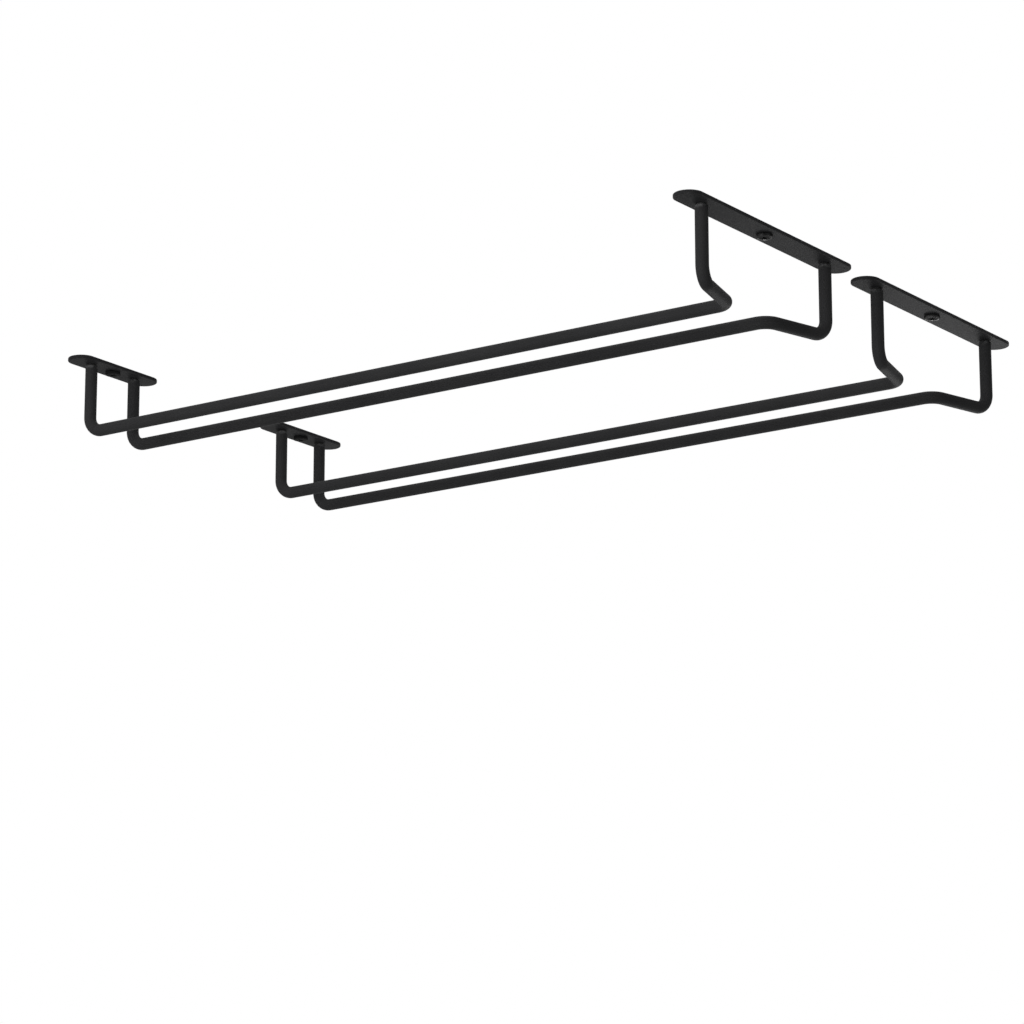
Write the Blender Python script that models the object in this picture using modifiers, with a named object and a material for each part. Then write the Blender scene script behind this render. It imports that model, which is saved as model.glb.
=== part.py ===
# Hanging wine glass rack: a matching pair of racks that hang side by side.
# Each rack is two bent steel wires under a long front plate and a short back plate.
# Every wire ends on both plates, and one screw up through the middle of each plate
# holds the rack. X runs across the racks, +Y to the back, and Z is zero at the plates'
# top faces, which bear on what the racks hang from.

import math

import bmesh
import bpy
from mathutils import Vector

MM = 0.001

# The bent wire
WIRE_DIAMETER = 6.0 * MM
RAIL_GAP = 26.0 * MM  # clear width between the two rails of a rack
LEG_GAP = 98.0 * MM  # clear width between the two front legs of a rack
WIRE_DROP = 34.5 * MM  # from the plates' underside down to the axis of the rails
FLARE_RUN = 9.2 * MM  # how far back the wire has come when it joins its rail
BEND_RADIUS = 7.5 * MM  # at the wire's axis
WIRE_END_ROUND = 0.9 * MM  # rounding of the wire's cut ends

# The two plates
PLATE_SPAN = 380.0 * MM  # from the front plate's centre line to the back plate's
PLATE_WIDTH = 14.0 * MM
PLATE_THICKNESS = 1.8 * MM
PLATE_EDGE_ROUND = 0.35 * MM
FRONT_PLATE_END = 17.0 * MM  # from a front leg's axis to the end of its plate
BACK_PLATE_END = 14.0 * MM  # from a back leg's axis to the end of its plate

# The screws
SCREW_SHANK_DIAMETER = 4.0 * MM
SCREW_HOLE_CLEARANCE = 0.5 * MM  # all round the shank
SCREW_HEAD_DIAMETER = 7.5 * MM
SCREW_HEAD_HEIGHT = 1.3 * MM
SCREW_RIM_HEIGHT = 0.8 * MM  # the straight side of the head, before it domes
RECESS_SPAN = 4.8 * MM  # from tip to tip of the cross recess
RECESS_WING = 1.0 * MM  # thickness of one wing of the cross
RECESS_DEPTH = 1.2 * MM
RECESS_FLOOR_SHARE = 0.35  # how much of the recess's span is left at its floor

# How far round each screw came to rest, the front one of a rack and then its back one
LEFT_RACK_SCREW_TURNS = (math.radians(20), math.radians(62))
RIGHT_RACK_SCREW_TURNS = (math.radians(41), math.radians(8))

# The pair
PAIR_GAP = 13.0 * MM  # between the ends of the two front plates
SEAT_GAP = 0.3 * MM  # kept between pieces that are welded or screwed together
CUT_OVERRUN = 1.0 * MM  # how far a cutter stands out of what it cuts

# How finely round shapes are divided
WIRE_BEVEL_RESOLUTION = 6
BEND_STEPS = 8
WIRE_END_STEPS = 3
PLATE_END_STEPS = 16
HOLE_STEPS = 24
PLATE_EDGE_STEPS = 2
SCREW_STEPS = 32
DOME_STEPS = 6
SHARP_ANGLE = math.radians(35)
WELD_DISTANCE = 0.00001

# Places that follow from the sizes
WIRE_RADIUS = WIRE_DIAMETER / 2
RAIL_SPACING = RAIL_GAP + WIRE_DIAMETER
LEG_SPACING = LEG_GAP + WIRE_DIAMETER
FRONT_PLATE_LENGTH = LEG_SPACING + 2 * FRONT_PLATE_END
BACK_PLATE_LENGTH = RAIL_SPACING + 2 * BACK_PLATE_END
RACK_PITCH = FRONT_PLATE_LENGTH + PAIR_GAP
FRONT_Y = -PLATE_SPAN / 2
BACK_Y = PLATE_SPAN / 2
RAIL_Z = -PLATE_THICKNESS - WIRE_DROP
SEAT_Z = -PLATE_THICKNESS - SEAT_GAP
HOLE_RADIUS = SCREW_SHANK_DIAMETER / 2 + SCREW_HOLE_CLEARANCE


def clear_scene():
    for thing in list(bpy.data.objects):
        bpy.data.objects.remove(thing, do_unlink=True)
    for group in list(bpy.data.collections):
        bpy.data.collections.remove(group)


def make_collection(name):
    group = bpy.data.collections.new(name)
    bpy.context.scene.collection.children.link(group)
    return group


def make_material(name, colour, roughness, metallic):
    material = bpy.data.materials.new(name)
    material.use_nodes = True
    shader = material.node_tree.nodes["Principled BSDF"]
    shader.inputs["Base Color"].default_value = (*colour, 1.0)
    shader.inputs["Roughness"].default_value = roughness
    shader.inputs["Metallic"].default_value = metallic
    return material


def wire_finish():
    # Fine matt black powder coat on the bent wire
    return make_material("black_powder_coat_wire", (0.017, 0.017, 0.018), 0.55, 0.0)


def plate_finish():
    # The same coat, a shade paler on the flat faces
    return make_material("black_powder_coat_plate", (0.026, 0.026, 0.027), 0.5, 0.0)


def screw_finish():
    # Blackened steel, smoother than the coat
    return make_material("black_screw_steel", (0.014, 0.014, 0.015), 0.32, 0.6)


def arc_points(centre_x, centre_y, radius, start, sweep, steps):
    points = []
    for step in range(steps + 1):
        angle = start + sweep * step / steps
        points.append((centre_x + radius * math.cos(angle), centre_y + radius * math.sin(angle)))
    return points


def add_closed_spline(curve, outline):
    spline = curve.splines.new("POLY")
    spline.points.add(len(outline) - 1)
    for point, (x, y) in zip(spline.points, outline):
        point.co = (x, y, 0.0, 1.0)
    spline.use_cyclic_u = True


def plate_curve(name, length):
    # A strip with full round ends and one round hole for the screw, at its middle
    end_radius = PLATE_WIDTH / 2
    end_x = length / 2 - end_radius
    curve = bpy.data.curves.new(name, "CURVE")
    curve.dimensions = "2D"
    curve.fill_mode = "BOTH"
    curve.extrude = PLATE_THICKNESS / 2
    right_end = arc_points(end_x, 0, end_radius, -math.pi / 2, math.pi, PLATE_END_STEPS)
    left_end = arc_points(-end_x, 0, end_radius, math.pi / 2, math.pi, PLATE_END_STEPS)
    add_closed_spline(curve, right_end + left_end)
    hole = arc_points(0, 0, HOLE_RADIUS, 0, -2 * math.pi, HOLE_STEPS)
    add_closed_spline(curve, hole[:-1])
    return curve


def add_plate(name, curve, place_y, rack, group):
    plate = bpy.data.objects.new(name, curve)
    plate.location = (0, place_y, -PLATE_THICKNESS / 2)
    plate.parent = rack
    group.objects.link(plate)
    weld = plate.modifiers.new("join the faces", "WELD")
    weld.merge_threshold = WELD_DISTANCE
    edges = plate.modifiers.new("rounded edges", "BEVEL")
    edges.width = PLATE_EDGE_ROUND
    edges.segments = PLATE_EDGE_STEPS
    edges.limit_method = "ANGLE"
    edges.angle_limit = SHARP_ANGLE
    return plate


def bend_corner(before, corner, after, room):
    # The arc that rounds one corner of the wire, no wider than the room beside it
    inward = (before - corner).normalized()
    outward = (after - corner).normalized()
    half_angle = inward.angle(outward) / 2
    setback = min(BEND_RADIUS / math.tan(half_angle), room)
    radius = setback * math.tan(half_angle)
    start = corner + inward * setback
    end = corner + outward * setback
    middle = (inward + outward).normalized()
    centre = corner + middle * radius / math.sin(half_angle)
    from_centre = (start - centre).normalized()
    to_centre = (end - centre).normalized()
    points = []
    for step in range(BEND_STEPS + 1):
        points.append(centre + radius * from_centre.slerp(to_centre, step / BEND_STEPS))
    return points


def wire_axis(side):
    # Down the front leg, in along the flare, back along the rail and up the back leg
    leg_x = side * LEG_SPACING / 2
    rail_x = side * RAIL_SPACING / 2
    corners = [
        Vector((leg_x, FRONT_Y, SEAT_Z)),
        Vector((leg_x, FRONT_Y, RAIL_Z)),
        Vector((rail_x, FRONT_Y + FLARE_RUN, RAIL_Z)),
        Vector((rail_x, BACK_Y, RAIL_Z)),
        Vector((rail_x, BACK_Y, SEAT_Z)),
    ]
    flare_room = (corners[2] - corners[1]).length / 2
    leg_room = corners[4].z - corners[3].z - WIRE_END_ROUND
    rooms = [min(flare_room, leg_room), flare_room, leg_room]
    axis = [corners[0]]
    for index, room in enumerate(rooms):
        axis += bend_corner(corners[index], corners[index + 1], corners[index + 2], room)
    axis.append(corners[-1])
    return axis


def end_rounding(tip, neighbour):
    # Points and radii that carry the wire from its small flat tip to its full size
    along = (neighbour - tip).normalized()
    rounding = []
    for step in range(WIRE_END_STEPS + 1):
        angle = math.pi / 2 * step / WIRE_END_STEPS
        point = tip + along * WIRE_END_ROUND * (1 - math.cos(angle))
        radius = WIRE_RADIUS - WIRE_END_ROUND + WIRE_END_ROUND * math.sin(angle)
        rounding.append((point, radius))
    return rounding


def wire_curve(name, side):
    axis = wire_axis(side)
    first_end = end_rounding(axis[0], axis[1])
    last_end = end_rounding(axis[-1], axis[-2])
    body = [(point, WIRE_RADIUS) for point in axis[1:-1]]
    stations = first_end + body + last_end[::-1]
    curve = bpy.data.curves.new(name, "CURVE")
    curve.dimensions = "3D"
    curve.bevel_depth = WIRE_RADIUS
    curve.bevel_resolution = WIRE_BEVEL_RESOLUTION
    curve.use_fill_caps = True
    spline = curve.splines.new("POLY")
    spline.points.add(len(stations) - 1)
    for point, (place, radius) in zip(spline.points, stations):
        point.co = (*place, 1.0)
        point.radius = radius / WIRE_RADIUS
    return curve


def add_wire(name, curve, rack, group):
    wire = bpy.data.objects.new(name, curve)
    wire.parent = rack
    group.objects.link(wire)
    weld = wire.modifiers.new("join the ends", "WELD")
    weld.merge_threshold = WELD_DISTANCE
    return wire


def screw_profile():
    # Half a section, from the top of the shank out over the head and in to its middle
    shank_radius = SCREW_SHANK_DIAMETER / 2
    head_radius = SCREW_HEAD_DIAMETER / 2
    dome_height = SCREW_HEAD_HEIGHT - SCREW_RIM_HEIGHT
    shank_top = PLATE_THICKNESS
    points = [(0, shank_top), (shank_radius, shank_top), (shank_radius, 0), (head_radius, 0)]
    for step in range(DOME_STEPS):
        angle = math.pi / 2 * step / DOME_STEPS
        height = -SCREW_RIM_HEIGHT - dome_height * math.sin(angle)
        points.append((head_radius * math.cos(angle), height))
    points.append((0, -SCREW_HEAD_HEIGHT))
    return points


def turned_blank(group):
    # The screw before its recess is cut, made by turning the half section
    mesh = bpy.data.meshes.new("screw_half_section")
    points = [(x, 0, z) for x, z in screw_profile()]
    edges = [(index, index + 1) for index in range(len(points) - 1)]
    mesh.from_pydata(points, edges, [])
    blank = bpy.data.objects.new("screw_blank", mesh)
    group.objects.link(blank)
    turning = blank.modifiers.new("turning", "SCREW")
    turning.axis = "Z"
    turning.angle = 2 * math.pi
    turning.steps = SCREW_STEPS
    turning.render_steps = SCREW_STEPS
    turning.use_merge_vertices = True
    turning.merge_threshold = WELD_DISTANCE
    turning.use_normal_calculate = False
    return blank


def recess_wing(turn, group):
    # One tapered blade of the cross, standing out of the head and narrowing to its floor
    mesh = bpy.data.meshes.new("recess_wing")
    shape = bmesh.new()
    bmesh.ops.create_cube(shape, size=1.0)
    height = RECESS_DEPTH + CUT_OVERRUN
    floor_span = RECESS_SPAN * RECESS_FLOOR_SHARE
    outer_span = floor_span + (RECESS_SPAN - floor_span) * height / RECESS_DEPTH
    bmesh.ops.scale(shape, vec=(outer_span, RECESS_WING, height), verts=shape.verts)
    for vert in shape.verts:
        if vert.co.z > 0:
            vert.co.x *= floor_span / outer_span
    shape.to_mesh(mesh)
    shape.free()
    wing = bpy.data.objects.new("recess_wing", mesh)
    wing.location.z = -SCREW_HEAD_HEIGHT - CUT_OVERRUN + height / 2
    wing.rotation_euler.z = turn
    group.objects.link(wing)
    return wing


def hide_helper(helper):
    helper.hide_render = True
    helper.display_type = "WIRE"


def screw_mesh(material, group):
    blank = turned_blank(group)
    hide_helper(blank)
    for turn in (0, math.pi / 2):
        wing = recess_wing(turn, group)
        hide_helper(wing)
        cut = blank.modifiers.new("cross recess", "BOOLEAN")
        cut.operation = "DIFFERENCE"
        cut.solver = "EXACT"
        cut.object = wing
    bpy.context.view_layer.update()
    evaluated = blank.evaluated_get(bpy.context.evaluated_depsgraph_get())
    mesh = bpy.data.meshes.new_from_object(evaluated)
    mesh.name = "pan_head_screw"
    mesh.materials.clear()
    mesh.materials.append(material)
    mesh.shade_smooth()
    mesh.set_sharp_from_angle(angle=SHARP_ANGLE)
    return mesh


def add_screw(name, mesh, place_y, turn, rack, group):
    # The head bears on the plate's underside, and the shank fills the plate's hole
    screw = bpy.data.objects.new(name, mesh)
    screw.location = (0, place_y, SEAT_Z)
    screw.rotation_euler.z = turn
    screw.parent = rack
    group.objects.link(screw)
    return screw


def add_rack(name, place_x, screw_turns, shapes, group):
    rack = bpy.data.objects.new(name, None)
    rack.location.x = place_x
    group.objects.link(rack)
    add_plate(name + "_front_plate", shapes["front_plate"], FRONT_Y, rack, group)
    add_plate(name + "_back_plate", shapes["back_plate"], BACK_Y, rack, group)
    add_wire(name + "_left_wire", shapes["left_wire"], rack, group)
    add_wire(name + "_right_wire", shapes["right_wire"], rack, group)
    add_screw(name + "_front_screw", shapes["screw"], FRONT_Y, screw_turns[0], rack, group)
    add_screw(name + "_back_screw", shapes["screw"], BACK_Y, screw_turns[1], rack, group)
    return rack


def build():
    clear_scene()
    rack_group = make_collection("hanging_wine_glass_rack")
    helper_group = make_collection("cutters")
    wire_material = wire_finish()
    plate_material = plate_finish()
    screw_material = screw_finish()
    shapes = {
        "front_plate": plate_curve("front_plate_outline", FRONT_PLATE_LENGTH),
        "back_plate": plate_curve("back_plate_outline", BACK_PLATE_LENGTH),
        "left_wire": wire_curve("left_wire_axis", -1),
        "right_wire": wire_curve("right_wire_axis", 1),
        "screw": screw_mesh(screw_material, helper_group),
    }
    shapes["front_plate"].materials.append(plate_material)
    shapes["back_plate"].materials.append(plate_material)
    shapes["left_wire"].materials.append(wire_material)
    shapes["right_wire"].materials.append(wire_material)
    add_rack("left_rack", -RACK_PITCH / 2, LEFT_RACK_SCREW_TURNS, shapes, rack_group)
    add_rack("right_rack", RACK_PITCH / 2, RIGHT_RACK_SCREW_TURNS, shapes, rack_group)


build()
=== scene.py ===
import math

import bmesh
import bpy
from mathutils import Matrix, Vector


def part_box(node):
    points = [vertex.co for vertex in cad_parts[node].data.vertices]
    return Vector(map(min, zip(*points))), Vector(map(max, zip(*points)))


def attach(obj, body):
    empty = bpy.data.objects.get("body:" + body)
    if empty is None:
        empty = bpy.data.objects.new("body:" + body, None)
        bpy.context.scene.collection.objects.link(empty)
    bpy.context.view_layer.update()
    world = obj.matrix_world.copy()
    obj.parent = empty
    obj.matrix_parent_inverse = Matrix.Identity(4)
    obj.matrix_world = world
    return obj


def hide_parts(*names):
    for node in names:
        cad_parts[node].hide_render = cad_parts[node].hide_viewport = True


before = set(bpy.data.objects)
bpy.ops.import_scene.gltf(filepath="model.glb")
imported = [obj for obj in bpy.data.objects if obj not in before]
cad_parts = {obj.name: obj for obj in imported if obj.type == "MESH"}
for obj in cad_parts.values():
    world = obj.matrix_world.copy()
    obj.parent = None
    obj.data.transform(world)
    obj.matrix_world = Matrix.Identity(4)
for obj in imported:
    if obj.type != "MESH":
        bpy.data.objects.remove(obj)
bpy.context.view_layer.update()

# A pair of hanging wine glass racks, seen from below. Each rack is two bent wires welded
# under a long front plate and a short back plate, all in fine matt black powder coat, and
# two screws hold it up. Metres, Z up, the flared fronts face -Y.

leftRack = "left_rack"
rightRack = "right_rack"
tiny = 0.00001  # how close two places count as the same
mergeDistance = 0.000001  # points closer than this become one
facing = 0.9  # how squarely a face has to look in a direction to count, where 1 is fully
largestFaces = 100  # the weight at which the largest faces alone set the normals
trueArc = 0.5  # a bevel's profile that is part of a circle


# Helpers for selecting, shaping and finishing

def deselectAll():
    bpy.ops.object.select_all(action="DESELECT")


def nameActive(name):
    piece = bpy.context.active_object
    piece.name = name
    piece.data.name = name
    return piece


def makeActive(piece):
    deselectAll()
    piece.select_set(True)
    bpy.context.view_layer.objects.active = piece


def applyTransform():
    bpy.ops.object.transform_apply(location=True, rotation=True, scale=True)


def selectWhere(piece, kind, wanted):
    # kind is VERT, EDGE or FACE, and wanted says of each one whether to select it
    bpy.ops.mesh.select_mode(type=kind)
    bpy.ops.mesh.select_all(action="DESELECT")
    mesh = bmesh.from_edit_mesh(piece.data)
    for element in {"VERT": mesh.verts, "EDGE": mesh.edges, "FACE": mesh.faces}[kind]:
        if wanted(element):
            element.select_set(True)
    if kind == "VERT":
        mesh.select_flush(True)  # with the edges and faces between them
    bmesh.update_edit_mesh(piece.data)


def isLevel(edge):
    return abs(edge.verts[0].co.z - edge.verts[1].co.z) < tiny


def extrudeBy(move):
    bpy.ops.mesh.extrude_region_move(TRANSFORM_OT_translate={"value": tuple(move)})


def resizeAbout(scale, middle):
    bpy.ops.transform.resize(value=scale, center_override=tuple(middle))


def extrudeRings(middle, rings):
    # Each ring is a height and a radius; the selected outline is the first and goes through the rest
    for (height, radius), (newHeight, newRadius) in zip(rings, rings[1:]):
        extrudeBy((0, 0, newHeight - height))
        resizeAbout((newRadius / radius, newRadius / radius, 1), (middle.x, middle.y, newHeight))


def roundEdges(width, steps):
    bpy.ops.mesh.bevel(offset=width, segments=steps, profile=trueArc, affect="EDGES")


def turnNormalsOut():
    bpy.ops.mesh.select_all(action="SELECT")
    bpy.ops.mesh.normals_make_consistent(inside=False)


def finishMesh(piece, smoothAngle):
    bpy.ops.mesh.select_all(action="SELECT")
    bpy.ops.mesh.remove_doubles(threshold=mergeDistance)
    turnNormalsOut()
    bpy.ops.object.mode_set(mode="OBJECT")
    makeActive(piece)
    applyTransform()
    bpy.ops.object.shade_smooth_by_angle(angle=smoothAngle)


def keepFlat(piece):
    # Large faces keep their own normal, and the fine rounding round them takes the turn
    makeActive(piece)
    flatFaces = piece.modifiers.new("flat faces stay flat", "WEIGHTED_NORMAL")
    flatFaces.weight = largestFaces
    flatFaces.keep_sharp = True
    bpy.ops.object.modifier_apply(modifier=flatFaces.name)


def cutAway(piece, cutter):
    makeActive(piece)
    cut = piece.modifiers.new("cut away", "BOOLEAN")
    cut.operation = "DIFFERENCE"
    cut.solver = "EXACT"
    cut.object = cutter
    bpy.ops.object.modifier_apply(modifier=cut.name)
    bpy.data.objects.remove(cutter, do_unlink=True)


def duplicate(piece, name):
    twin = piece.copy()
    twin.data = piece.data.copy()
    bpy.context.scene.collection.objects.link(twin)
    makeActive(twin)
    nameActive(name)
    return twin


def copyPiece(piece, name, move, turn=0.0):
    twin = duplicate(piece, name)
    twin.location = move
    twin.rotation_euler.z = turn
    applyTransform()
    return twin


def mirrorPiece(piece, name, middleX):
    twin = duplicate(piece, name)
    twin.location.x = 2 * middleX
    twin.scale.x = -1
    applyTransform()
    bpy.ops.object.mode_set(mode="EDIT")
    turnNormalsOut()
    bpy.ops.object.mode_set(mode="OBJECT")
    return twin


def markRim(piece, share):
    # The rim attribute tells the materials where the coat is thin or rubbed, and where a lighter painted
    # highlight goes on the wires' ends and the screw heads
    rim = piece.data.attributes.new("rim", "FLOAT", "POINT")
    for vert in piece.data.vertices:
        rim.data[vert.index].value = share(vert.co)


def dress(piece, node, material):
    piece.data.materials.clear()
    piece.data.materials.append(material)
    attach(piece, "root")
    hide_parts(node)


# Places taken from the frame

def middleOf(node):
    low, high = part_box(node)
    return (low + high) / 2


def sizeOf(node):
    low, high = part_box(node)
    return high - low


leftRackX = middleOf(leftRack + "_front_plate").x
pitchMove = Vector((middleOf(rightRack + "_front_plate").x - leftRackX, 0, 0))
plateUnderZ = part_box(leftRack + "_front_plate")[0].z
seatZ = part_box(leftRack + "_left_wire")[1].z  # the screw heads and the wires stop at one height
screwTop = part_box(leftRack + "_front_screw")[1].z


# Node groups that the three finishes share

noiseLooks = {
    "peel": {"detail": 1.5, "roughness": 0.45},
    "grain": {"detail": 2.0, "roughness": 0.6, "band": (0.38, 0.62)},  # band: the noise from none to full
    "cloud": {"detail": 3.0, "roughness": 0.55, "band": (0.35, 0.65)},
    "patches": {"detail": 4.0, "roughness": 0.6, "band": (0.42, 0.62)},
}
noneToFull = (0.0, 1.0)
mixSockets = {"factor": 0, "first": 6, "second": 7, "result": 2}  # a Mix node's sockets for colours


def opaque(tone):
    return (*tone, 1)


def feed(tree, value, socket):
    # Another node's output is linked, and a plain value is set on the socket
    if isinstance(value, bpy.types.NodeSocket):
        tree.links.new(value, socket)
    else:
        socket.default_value = value


def mathNode(tree, operation, first, second):
    node = tree.nodes.new("ShaderNodeMath")
    node.operation = operation
    feed(tree, first, node.inputs[0])
    feed(tree, second, node.inputs[1])
    return node.outputs["Value"]


def rangeNode(tree, value, band, newBand):
    node = tree.nodes.new("ShaderNodeMapRange")
    tree.links.new(value, node.inputs["Value"])
    for socketName, limit in zip(("From Min", "From Max", "To Min", "To Max"), (*band, *newBand)):
        node.inputs[socketName].default_value = limit
    return node.outputs["Result"]


def noiseNode(tree, look, size):
    # Noise on the piece's own coordinates, whose lumps are size metres across
    place = tree.nodes.new("ShaderNodeTexCoord")
    noise = tree.nodes.new("ShaderNodeTexNoise")
    tree.links.new(place.outputs["Object"], noise.inputs["Vector"])
    tree.links.new(mathNode(tree, "DIVIDE", 1.0, size), noise.inputs["Scale"])
    noise.inputs["Detail"].default_value = look["detail"]
    noise.inputs["Roughness"].default_value = look["roughness"]
    return noise.outputs["Fac"]


def mixColour(tree, factor, first, second):
    node = tree.nodes.new("ShaderNodeMix")
    node.data_type = "RGBA"
    feed(tree, factor, node.inputs[mixSockets["factor"]])
    feed(tree, first, node.inputs[mixSockets["first"]])
    feed(tree, second, node.inputs[mixSockets["second"]])
    return node.outputs[mixSockets["result"]]


def newGroup(name, inputNames, outputNames):
    group = bpy.data.node_groups.new(name, "ShaderNodeTree")
    for inOut, socketNames in (("INPUT", inputNames), ("OUTPUT", outputNames)):
        for socketName in socketNames:
            group.interface.new_socket(socketName, in_out=inOut, socket_type="NodeSocketFloat")
    return group, group.nodes.new("NodeGroupInput"), group.nodes.new("NodeGroupOutput")


def powderGrainGroup():
    # Soft orange peel with fine powder grains on it; sizes, depths and Height are in metres
    group, source, result = newGroup(
        "powderGrain", ("Peel Size", "Peel Depth", "Grain Size", "Grain Depth"), ("Height", "Grain"))
    peel = noiseNode(group, noiseLooks["peel"], source.outputs["Peel Size"])
    grain = noiseNode(group, noiseLooks["grain"], source.outputs["Grain Size"])
    peelHeight = mathNode(group, "MULTIPLY", peel, source.outputs["Peel Depth"])
    grainHeight = mathNode(group, "MULTIPLY", grain, source.outputs["Grain Depth"])
    group.links.new(mathNode(group, "ADD", peelHeight, grainHeight), result.inputs["Height"])
    grains = rangeNode(group, grain, noiseLooks["grain"]["band"], noneToFull)
    group.links.new(grains, result.inputs["Grain"])
    return group


def toneDriftGroup():
    # Broad, faint change of tone, as where the coat lies a little thicker
    group, source, result = newGroup("toneDrift", ("Cloud Size",), ("Drift",))
    cloud = noiseNode(group, noiseLooks["cloud"], source.outputs["Cloud Size"])
    group.links.new(rangeNode(group, cloud, noiseLooks["cloud"]["band"], noneToFull), result.inputs["Drift"])
    return group


def edgeRubAndSheenGroup():
    # Broken rubbing along the edges that the rim attribute marks; on the wires' ends and the screw heads'
    # edges the same lighter mark is a painted highlight
    group, source, result = newGroup("edgeRubAndSheen", ("Patch Size", "Amount"), ("RubAndSheen", "Rim"))
    rim = group.nodes.new("ShaderNodeAttribute")
    rim.attribute_name = "rim"
    patches = noiseNode(group, noiseLooks["patches"], source.outputs["Patch Size"])
    broken = rangeNode(group, patches, noiseLooks["patches"]["band"], noneToFull)
    marked = mathNode(group, "MULTIPLY", rim.outputs["Fac"], broken)
    group.links.new(mathNode(group, "MULTIPLY", marked, source.outputs["Amount"]), result.inputs["RubAndSheen"])
    group.links.new(rim.outputs["Fac"], result.inputs["Rim"])
    return group


sharedGroups = {
    "powderGrain": powderGrainGroup(),
    "toneDrift": toneDriftGroup(),
    "edgeRubAndSheen": edgeRubAndSheenGroup(),
}


def groupNode(tree, name, values):
    node = tree.nodes.new("ShaderNodeGroup")
    node.node_tree = sharedGroups[name]
    for socketName, value in values.items():
        node.inputs[socketName].default_value = value
    return node


def coatedFinish(name, look):
    # One finish: tone that drifts, grain in the surface, and rubbed edges, which on the wires' ends and the
    # screw heads also carry a painted highlight
    material = bpy.data.materials.new(name)
    material.use_nodes = True
    tree = material.node_tree
    shader = tree.nodes["Principled BSDF"]
    grain = groupNode(tree, "powderGrain", look["grain"])
    drift = groupNode(tree, "toneDrift", look["drift"])
    rubAndSheen = groupNode(tree, "edgeRubAndSheen", look["rubAndSheen"])
    tone = mixColour(tree, drift.outputs["Drift"], opaque(look["darkTone"]), opaque(look["paleTone"]))
    speckle = mathNode(tree, "MULTIPLY", grain.outputs["Grain"], look["speckle"])
    speckled = mixColour(tree, speckle, tone, opaque(look["grainTone"]))
    withRubAndSheen = mixColour(tree, rubAndSheen.outputs["RubAndSheen"], speckled, opaque(look["rubAndSheenTone"]))
    tree.links.new(withRubAndSheen, shader.inputs["Base Color"])
    rough = rangeNode(tree, grain.outputs["Grain"], noneToFull, look["roughness"])
    smoother = mathNode(tree, "MULTIPLY", rubAndSheen.outputs["RubAndSheen"], look["rubAndSheenPolish"])
    tree.links.new(mathNode(tree, "SUBTRACT", rough, smoother), shader.inputs["Roughness"])
    bump = tree.nodes.new("ShaderNodeBump")
    bump.inputs["Strength"].default_value = 1.0
    bump.inputs["Distance"].default_value = 1.0  # the heights are in metres already
    tree.links.new(grain.outputs["Height"], bump.inputs["Height"])
    tree.links.new(bump.outputs["Normal"], shader.inputs["Normal"])
    shader.inputs["Specular IOR Level"].default_value = look["specular"]
    if "rubAndSheenMetal" in look:
        bared = mathNode(tree, "MULTIPLY", rubAndSheen.outputs["RubAndSheen"], look["rubAndSheenMetal"])
        tree.links.new(bared, shader.inputs["Metallic"])
    if "rimGloss" in look:
        gloss = mathNode(tree, "MULTIPLY", rubAndSheen.outputs["Rim"], look["rimGloss"])
        tree.links.new(gloss, shader.inputs["Coat Weight"])
        shader.inputs["Coat Roughness"].default_value = look["rimRoughness"]
    return material


plateLook = {
    "darkTone": (0.014, 0.014, 0.0148),
    "paleTone": (0.019, 0.019, 0.02),
    "grainTone": (0.028, 0.028, 0.029),
    "speckle": 0.4,
    "rubAndSheenTone": (0.06, 0.06, 0.061),
    "rubAndSheenPolish": 0.1,
    "roughness": (0.56, 0.48),
    "specular": 0.02,
    "grain": {"Peel Size": 0.0014, "Peel Depth": 0.000014, "Grain Size": 0.0004, "Grain Depth": 0.000006},
    "drift": {"Cloud Size": 0.022},
    "rubAndSheen": {"Patch Size": 0.005, "Amount": 0.35},
}

wireLook = {
    "darkTone": (0.0215, 0.0215, 0.0222),
    "paleTone": (0.0268, 0.0268, 0.0276),
    "grainTone": (0.036, 0.036, 0.037),
    "speckle": 0.4,
    # the lighter tone here is a painted highlight on the wires' rounded ends
    "rubAndSheenTone": (0.11, 0.11, 0.112),
    "rubAndSheenPolish": 0.1,
    "roughness": (0.58, 0.5),
    "specular": 0.018,
    "grain": {"Peel Size": 0.0013, "Peel Depth": 0.000013, "Grain Size": 0.0004, "Grain Depth": 0.000006},
    "drift": {"Cloud Size": 0.03},
    "rubAndSheen": {"Patch Size": 0.003, "Amount": 0.8},
}

screwLook = {
    "darkTone": (0.011, 0.011, 0.0113),
    "paleTone": (0.016, 0.016, 0.0164),
    "grainTone": (0.024, 0.024, 0.0245),
    "speckle": 0.3,
    # pale bare steel where the head is rubbed, which on the front screws' far side is also the painted glint
    # and painted light arcs
    "rubAndSheenTone": (0.9, 0.89, 0.88),
    "rubAndSheenPolish": 0.05,
    "roughness": (0.5, 0.44),
    "specular": 0.006,
    "rubAndSheenMetal": 1.0,  # bare steel where rubbed, and where the painted glint and light arcs are set
    "rimGloss": 0.5,  # the edge of the head is polished by handling
    "rimRoughness": 0.2,
    "grain": {"Peel Size": 0.0009, "Peel Depth": 0.000004, "Grain Size": 0.0002, "Grain Depth": 0.000001},
    "drift": {"Cloud Size": 0.004},
    "rubAndSheen": {"Patch Size": 0.0022, "Amount": 1.0},
}

plateMaterial = coatedFinish("mattBlackPlateCoat", plateLook)
wireMaterial = coatedFinish("mattBlackWireCoat", wireLook)
screwMaterial = coatedFinish("blackenedScrewSteel", screwLook)
print("finishes ready")


# Plates: flat strip with full round ends, soft coated edges and one screw hole

plateSizes = {
    "holeDiameter": 0.005,
    "edgeRound": 0.00045,
    "holeRound": 0.0002,
    "roundSteps": 96,
    "edgeSteps": 4,
    "holeEdgeSteps": 2,
    "smoothAngle": math.radians(40),
}


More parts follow.
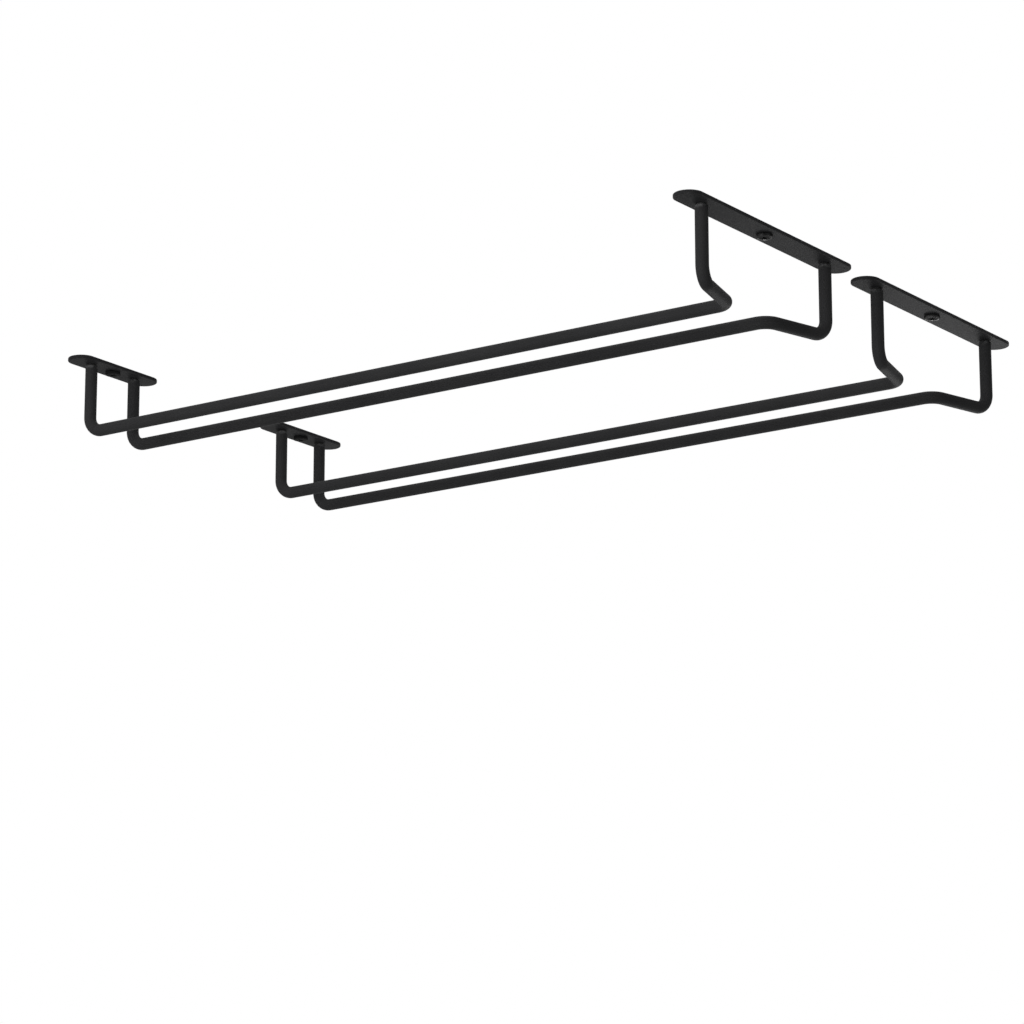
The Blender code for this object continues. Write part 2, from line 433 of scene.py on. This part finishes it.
def drillHole(plate, radius, thickness):
    deselectAll()
    bpy.ops.mesh.primitive_cylinder_add(vertices=plateSizes["roundSteps"], radius=radius, depth=2 * thickness,
                                        end_fill_type="NGON", location=(0, 0, 0))
    cutter = nameActive("holeCutter")
    applyTransform()
    cutAway(plate, cutter)


def modelPlate(node):
    sizes = plateSizes
    box = sizeOf(node)
    halfWidth = box.y / 2
    stretch = box.x / 2 - halfWidth
    topZ = box.z / 2
    holeRadius = sizes["holeDiameter"] / 2
    halfStep = math.pi / sizes["roundSteps"]
    deselectAll()
    bpy.ops.mesh.primitive_cylinder_add(vertices=sizes["roundSteps"], radius=halfWidth, depth=box.z,
                                        end_fill_type="NGON", location=(0, 0, 0), rotation=(0, 0, halfStep))
    plate = nameActive(node + "_coated")
    applyTransform()
    bpy.ops.object.mode_set(mode="EDIT")
    selectWhere(plate, "VERT", lambda vert: vert.co.x > 0)  # the two halves of the disc move apart
    bpy.ops.transform.translate(value=(stretch, 0, 0))
    selectWhere(plate, "VERT", lambda vert: vert.co.x < 0)
    bpy.ops.transform.translate(value=(-stretch, 0, 0))
    selectWhere(plate, "EDGE", isLevel)
    roundEdges(sizes["edgeRound"], sizes["edgeSteps"])
    bpy.ops.object.mode_set(mode="OBJECT")
    drillHole(plate, holeRadius, box.z)
    bpy.ops.object.mode_set(mode="EDIT")

    def isHoleRim(edge):
        return isLevel(edge) and all(vert.co.xy.length < holeRadius + tiny for vert in edge.verts)

    selectWhere(plate, "EDGE", isHoleRim)
    roundEdges(sizes["holeRound"], sizes["holeEdgeSteps"])
    finishMesh(plate, sizes["smoothAngle"])
    keepFlat(plate)
    markRim(plate, lambda co: 1.0 if topZ - sizes["edgeRound"] + tiny < abs(co.z) < topZ - tiny else 0.0)
    plate.location = middleOf(node)
    makeActive(plate)
    applyTransform()
    return plate


for plateEnd in ("_front_plate", "_back_plate"):
    leftPlate = modelPlate(leftRack + plateEnd)
    rightPlate = copyPiece(leftPlate, rightRack + plateEnd + "_coated", pitchMove)
    dress(leftPlate, leftRack + plateEnd, plateMaterial)
    dress(rightPlate, rightRack + plateEnd, plateMaterial)
print("four plates done")


# Wires: front leg, flare, rail and back leg in one bent wire, rounded at its welded ends

wireSizes = {
    "diameter": 0.006,
    "bendRadius": 0.0075,
    "flareRun": 0.0092,
    "endRound": 0.0009,
    "weldDiameter": 0.0036,
    "weldFoot": 0.0044,
    "shoulder": 0.0014,  # how far down below the rounded end the painted highlight fades out
    "ringSteps": 48,
    "bendSteps": 18,
    "endSteps": 6,
    "smoothAngle": math.radians(50),
}
wireRadius = wireSizes["diameter"] / 2


def wireCorners(node):
    # Where the wire's axis would turn if its bends were sharp
    low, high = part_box(node)
    legX = low.x + wireRadius
    railX = high.x - wireRadius
    frontY = low.y + wireRadius
    backY = high.y - wireRadius
    railZ = low.z + wireRadius
    endZ = high.z - wireSizes["endRound"]
    return [
        Vector((legX, frontY, endZ)),
        Vector((legX, frontY, railZ)),
        Vector((railX, frontY + wireSizes["flareRun"], railZ)),
        Vector((railX, backY, railZ)),
        Vector((railX, backY, endZ)),
    ]


def bendWire(place, along, towards):
    # Spins the open end round the middle of the bend; spin turns clockwise about its axis
    axis = along.cross(towards).normalized()
    inward = axis.cross(along)
    middle = place + inward * wireSizes["bendRadius"]
    bpy.ops.mesh.spin(steps=wireSizes["bendSteps"], angle=along.angle(towards), center=tuple(middle),
                      axis=tuple(-axis))


def closeWireEnd(place):
    # Rounds the open end, then a narrow weld carries on up to the plate
    sizes = wireSizes
    rounding = sizes["endRound"]
    weldRadius = sizes["weldDiameter"] / 2
    rings = [(place.z, wireRadius)]
    for step in range(1, sizes["endSteps"] + 1):
        angle = math.pi / 2 * step / sizes["endSteps"]
        height = place.z + rounding * math.sin(angle)
        rings.append((height, wireRadius - rounding * (1 - math.cos(angle))))
    rings.append((height, weldRadius))
    rings.append(((height + plateUnderZ) / 2, weldRadius))
    rings.append((plateUnderZ, sizes["weldFoot"] / 2))
    extrudeRings(place, rings)
    bpy.ops.mesh.edge_face_add()


def modelWire(node):
    sizes = wireSizes
    corners = wireCorners(node)
    frontTop = corners[0]
    backTop = corners[-1]
    deselectAll()
    bpy.ops.mesh.primitive_circle_add(vertices=sizes["ringSteps"], radius=wireRadius, fill_type="NOTHING",
                                      location=frontTop)
    wire = nameActive(node + "_coated")
    applyTransform()
    bpy.ops.object.mode_set(mode="EDIT")
    bpy.ops.mesh.select_all(action="SELECT")
    shoulder = Vector((0, 0, -sizes["shoulder"]))
    extrudeBy(shoulder)
    place = frontTop + shoulder
    for before, corner, after in zip(corners, corners[1:], corners[2:]):
        along = (corner - before).normalized()
        towards = (after - corner).normalized()
        setback = sizes["bendRadius"] * math.tan(along.angle(towards) / 2)
        bendStart = corner - along * setback
        extrudeBy(bendStart - place)
        bendWire(bendStart, along, towards)
        place = corner + towards * setback
    extrudeBy(backTop + shoulder - place)
    extrudeBy(-shoulder)
    closeWireEnd(backTop)

    def isFrontEnd(vert):
        return abs(vert.co.z - frontTop.z) < tiny and (vert.co.xy - frontTop.xy).length < wireRadius + tiny

    selectWhere(wire, "VERT", isFrontEnd)
    closeWireEnd(frontTop)
    finishMesh(wire, sizes["smoothAngle"])
    # The rounded ends and welds are marked for a lighter painted highlight, which fades out down the shoulder
    # below
    markRim(wire, lambda co: 1.0 if co.z > frontTop.z - tiny else 0.0)
    return wire


leftWire = modelWire(leftRack + "_left_wire")
rightWire = mirrorPiece(leftWire, leftRack + "_right_wire_coated", leftRackX)
for wire, wireName in ((leftWire, "_left_wire"), (rightWire, "_right_wire")):
    twin = copyPiece(wire, rightRack + wireName + "_coated", pitchMove)
    dress(wire, leftRack + wireName, wireMaterial)
    dress(twin, rightRack + wireName, wireMaterial)
print("four wires done")


# Screws: pan heads with a tapered cross recess, each turned as it happened to stop

screwSizes = {
    "headDiameter": 0.0075,
    "headHeight": 0.0013,
    "rimHeight": 0.0008,
    "shankDiameter": 0.004,
    "recessSpan": 0.0048,
    "recessWing": 0.001,
    "recessDepth": 0.0012,
    "recessFloor": 0.35,  # share of the span that is left at the floor
    "coreMouth": 0.0027,  # the round middle of the recess, at the head's face
    "coreFloor": 0.0011,
    "fineRound": 0.00006,
    "fineSteps": 2,
    "roundSteps": 72,
    "domeSteps": 14,
    "coreSteps": 24,
    "crownPower": 0.5,  # 1 is a full dome, less is a flatter crown with a tighter edge
    "cutterReach": 0.001,  # how far the cutters stand out of the head
    "polishAndSheenFrom": 0.74,  # share of the head's radius where its polished edge with the painted highlight begins
    "farChafeAndSheenBeyond": 0.2,  # share of the radius beyond which the chafed side with the painted light arcs lies
    # how much the far side's edge is chafed and lightened, as painted light arcs
    "farChafeAndSheen": 0.3,
    "nearWearAndSheen": 0.05,  # the rest of the edge, worn and lightened a little as a fainter painted highlight
    "slipMarkAndGlint": 0.0012,  # width of the bare mark from the recess out over that side, which is also a painted glint
    "slipMarkAndGlintFrom": 0.64,  # share of the radius where the bare mark begins
    "lip": 0.00012,  # width of the worn lip of the recess
    "lipFrom": 0.25,  # share of that width where its wear begins
    "lipWear": 0.05,
    # the way away from the camera, so that the bare mark and the chafed edge show as a painted glint and
    # painted arcs low on each head
    "slipAndGlintTowards": (0.85, 0.52),
    "slippedWithGlint": ("left_rack_front_screw", "right_rack_front_screw"),  # the back ones get only the worn lips, with no painted glint and no painted arcs
    "smoothAngle": math.radians(32),
    "turns": {"left_rack_front_screw": math.radians(20), "left_rack_back_screw": math.radians(62),
              "right_rack_front_screw": math.radians(41), "right_rack_back_screw": math.radians(8)},
}
headRadius = screwSizes["headDiameter"] / 2
cutterDepth = screwSizes["recessDepth"] + screwSizes["cutterReach"]
recessFloorZ = screwSizes["recessDepth"] - screwSizes["headHeight"]


def crossCutter():
    # A small post drawn out to four wings, which narrow towards the floor of the recess
    sizes = screwSizes
    wing = sizes["recessWing"]
    taper = (1 - sizes["recessFloor"]) * cutterDepth / sizes["recessDepth"]
    outerSpan = sizes["recessSpan"] * (sizes["recessFloor"] + taper)
    reach = (outerSpan - wing) / 2
    floorShare = sizes["recessSpan"] * sizes["recessFloor"] / outerSpan
    deselectAll()
    bpy.ops.mesh.primitive_cube_add(size=1, location=(0, 0, recessFloorZ - cutterDepth / 2),
                                    scale=(wing, wing, cutterDepth))
    cutter = nameActive("crossCutter")
    applyTransform()
    bpy.ops.object.mode_set(mode="EDIT")

    def startsWing(face, direction):
        middle = face.calc_center_median()
        onPost = abs(middle.dot(direction) - wing / 2) < tiny and abs(middle.xy.cross(direction.xy)) < tiny
        return onPost and face.normal.dot(direction) > facing

    for direction in (Vector((1, 0, 0)), Vector((-1, 0, 0)), Vector((0, 1, 0)), Vector((0, -1, 0))):
        selectWhere(cutter, "FACE", lambda face: startsWing(face, direction))
        extrudeBy(direction * reach)
    selectWhere(cutter, "VERT", lambda vert: vert.co.z > recessFloorZ - tiny)
    resizeAbout((floorShare, floorShare, 1), (0, 0, recessFloorZ))
    turnNormalsOut()
    bpy.ops.object.mode_set(mode="OBJECT")
    return cutter


def coreCutter():
    # The tapered middle, where the driver's tip sits
    sizes = screwSizes
    widening = (sizes["coreMouth"] - sizes["coreFloor"]) / sizes["recessDepth"]
    outerSize = sizes["coreMouth"] + widening * sizes["cutterReach"]
    deselectAll()
    bpy.ops.mesh.primitive_cone_add(vertices=sizes["coreSteps"], radius1=outerSize / 2,
                                    radius2=sizes["coreFloor"] / 2, depth=cutterDepth,
                                    location=(0, 0, recessFloorZ - cutterDepth / 2))
    cutter = nameActive("coreCutter")
    applyTransform()
    return cutter


def modelScrew(shankLength):
    # Modelled at the middle of the head's seat, head down
    sizes = screwSizes
    rimHeight = sizes["rimHeight"]
    domeHeight = sizes["headHeight"] - rimHeight
    deselectAll()
    bpy.ops.mesh.primitive_cylinder_add(vertices=sizes["roundSteps"], radius=headRadius, depth=rimHeight,
                                        end_fill_type="NGON", location=(0, 0, -rimHeight / 2))
    screw = nameActive("panHeadScrew")
    applyTransform()
    bpy.ops.object.mode_set(mode="EDIT")
    selectWhere(screw, "FACE", lambda face: face.normal.z < -facing)
    rings = [(-rimHeight, headRadius)]
    for step in range(1, sizes["domeSteps"]):
        angle = math.pi / 2 * step / sizes["domeSteps"]
        height = -rimHeight - domeHeight * math.sin(angle) ** sizes["crownPower"]
        rings.append((height, headRadius * math.cos(angle) ** sizes["crownPower"]))
    extrudeRings(Vector(), rings)
    extrudeBy((0, 0, -sizes["headHeight"] - height))
    bpy.ops.mesh.merge(type="CENTER")
    selectWhere(screw, "FACE", lambda face: face.normal.z > facing)
    bpy.ops.mesh.inset(thickness=headRadius - sizes["shankDiameter"] / 2)
    extrudeBy((0, 0, shankLength))
    finishMesh(screw, sizes["smoothAngle"])
    cutAway(screw, crossCutter())
    cutAway(screw, coreCutter())
    softened = screw.modifiers.new("fine edges", "BEVEL")
    softened.width = sizes["fineRound"]
    softened.segments = sizes["fineSteps"]
    softened.limit_method = "ANGLE"
    softened.angle_limit = sizes["smoothAngle"]
    bpy.ops.object.modifier_apply(modifier=softened.name)
    bpy.ops.object.mode_set(mode="EDIT")
    finishMesh(screw, sizes["smoothAngle"])
    keepFlat(screw)
    return screw


def markWearAndSheen(screw, middle, turn, slippedWithGlint):
    # The driver has worn each recess's lips. On a front screw the driver's slip has bared a mark towards the
    # back right, away from the camera, and chafed that side's edge; both are placed there as a painted glint
    # and painted light arcs, and the rest of the edge gets a fainter painted highlight.
    sizes = screwSizes
    slipAndGlintWay = Vector(sizes["slipAndGlintTowards"]).normalized()
    unturned = Matrix.Rotation(-turn, 2)

    def inRecess(place, grow):
        across, along = sorted((abs(place.x), abs(place.y)))
        inWing = across < sizes["recessWing"] / 2 + grow and along < sizes["recessSpan"] / 2 + grow
        return inWing or place.length < sizes["coreMouth"] / 2 + grow

    def onLip(place):
        return inRecess(place, sizes["lip"]) and not inRecess(place, sizes["lip"] * sizes["lipFrom"])

    def wornAndSheened(co):
        if co.z >= seatZ - sizes["rimHeight"] / 2:
            return 0.0
        place = co.xy - middle.xy
        share = place.dot(slipAndGlintWay) / headRadius
        if slippedWithGlint and share > sizes["slipMarkAndGlintFrom"] and abs(place.cross(slipAndGlintWay)) < sizes["slipMarkAndGlint"] / 2:
            return 1.0
        if onLip(unturned @ place):
            return sizes["lipWear"]
        if not slippedWithGlint or place.length < headRadius * sizes["polishAndSheenFrom"]:
            return 0.0
        return sizes["farChafeAndSheen"] if share > sizes["farChafeAndSheenBeyond"] else sizes["nearWearAndSheen"]

    markRim(screw, wornAndSheened)


masterScrew = modelScrew(screwTop - seatZ)
for node, turn in screwSizes["turns"].items():
    middle = middleOf(node)
    screw = copyPiece(masterScrew, node + "_blackened", (middle.x, middle.y, seatZ), turn)
    markWearAndSheen(screw, middle, turn, node in screwSizes["slippedWithGlint"])
    dress(screw, node, screwMaterial)
bpy.data.objects.remove(masterScrew, do_unlink=True)
print("four screws done")


# The room: a pale floor far below, a white surround and soft lamps

roomLook = {
    "floorDrop": 2.4,
    "floorSize": 40.0,
    "floorTone": (0.88, 0.88, 0.88),
    "floorRoughness": 0.9,
    "floorGlow": 0.82,
    "surroundTone": (1.0, 1.0, 1.0),
    "surroundLight": 0.2,  # its brightness as a light
    "surroundSeen": 1.0,  # its brightness where it is seen
}

lamps = {
    "leftLamp": {"place": (-1.9, -0.3, -0.22), "size": 1.6, "power": 25.0},
    "backLeftLamp": {"place": (-1.6, 0.9, -0.3), "size": 1.0, "power": 7.5},
    "rightLamp": {"place": (1.3, -0.5, -0.4), "size": 1.0, "power": 1.5},
    "lowLamp": {"place": (0.6, 0.0, -0.36), "size": 0.5, "power": 1.8},
    "topLamp": {"place": (0.0, 0.0, 1.8), "size": 1.6, "power": 20.0},
}


def seenRays(tree):
    # 1 for rays that show the room itself: straight from the camera, or by gloss or a clear surface
    path = tree.nodes.new("ShaderNodeLightPath")
    straight = mathNode(tree, "MAXIMUM", path.outputs["Is Camera Ray"], path.outputs["Is Glossy Ray"])
    return mathNode(tree, "MAXIMUM", straight, path.outputs["Is Transmission Ray"])


def buildFloor():
    deselectAll()
    bpy.ops.mesh.primitive_plane_add(size=roomLook["floorSize"], location=(0, 0, -roomLook["floorDrop"]))
    floor = nameActive("paleFloor")
    material = bpy.data.materials.new("paleFloor")
    material.use_nodes = True
    tree = material.node_tree
    shader = tree.nodes["Principled BSDF"]
    shader.inputs["Base Color"].default_value = opaque(roomLook["floorTone"])
    shader.inputs["Roughness"].default_value = roomLook["floorRoughness"]
    shader.inputs["Emission Color"].default_value = opaque(roomLook["surroundTone"])
    glow = mathNode(tree, "MULTIPLY", seenRays(tree), roomLook["floorGlow"])
    tree.links.new(glow, shader.inputs["Emission Strength"])
    floor.data.materials.append(material)
    applyTransform()


def buildSurround():
    # White where it is seen, and a plain light level on what it lights
    world = bpy.data.worlds.new("whiteSurround")
    bpy.context.scene.world = world
    world.use_nodes = True
    tree = world.node_tree
    tree.nodes.clear()
    levels = (roomLook["surroundLight"], roomLook["surroundSeen"])
    strength = rangeNode(tree, seenRays(tree), noneToFull, levels)
    background = tree.nodes.new("ShaderNodeBackground")
    background.inputs["Color"].default_value = opaque(roomLook["surroundTone"])
    tree.links.new(strength, background.inputs["Strength"])
    output = tree.nodes.new("ShaderNodeOutputWorld")
    tree.links.new(background.outputs["Background"], output.inputs["Surface"])


def addLamp(name, lamp):
    deselectAll()
    bpy.ops.object.light_add(type="AREA", location=lamp["place"])
    light = nameActive(name)
    light.data.shape = "DISK"
    light.data.size = lamp["size"]
    light.data.energy = lamp["power"]
    aim = Vector() - Vector(lamp["place"])  # at the middle of the pair
    light.rotation_euler = aim.to_track_quat("-Z", "Y").to_euler()
    light.visible_camera = False


buildFloor()
buildSurround()
for lampName, lamp in lamps.items():
    addLamp(lampName, lamp)
print("room and lamps done")


# The camera stands where the photograph was taken, low and to the left, looking up

photoCamera = {
    "place": (-1.5062, -1.0613, -0.5487),
    "turn": math.radians(-54.821),  # round the vertical, from looking along +Y
    "rise": math.radians(14.110),
    "roll": math.radians(-0.041),
    "focalLength": 138.99,  # mm, as is the width of the sensor
    "sensorWidth": 36.0,
    "farthest": 50.0,
}


def addCamera():
    deselectAll()
    bpy.ops.object.camera_add(location=photoCamera["place"])
    camera = nameActive("photoCamera")
    turned = Matrix.Rotation(photoCamera["turn"], 3, "Z")
    raised = Matrix.Rotation(math.pi / 2 + photoCamera["rise"], 3, "X")
    rolled = Matrix.Rotation(photoCamera["roll"], 3, "Z")
    camera.rotation_euler = (turned @ raised @ rolled).to_euler()
    camera.data.sensor_width = photoCamera["sensorWidth"]
    camera.data.lens = photoCamera["focalLength"]
    camera.data.clip_end = photoCamera["farthest"]
    bpy.context.scene.camera = camera


addCamera()
bpy.context.scene.view_settings.view_transform = "Standard"
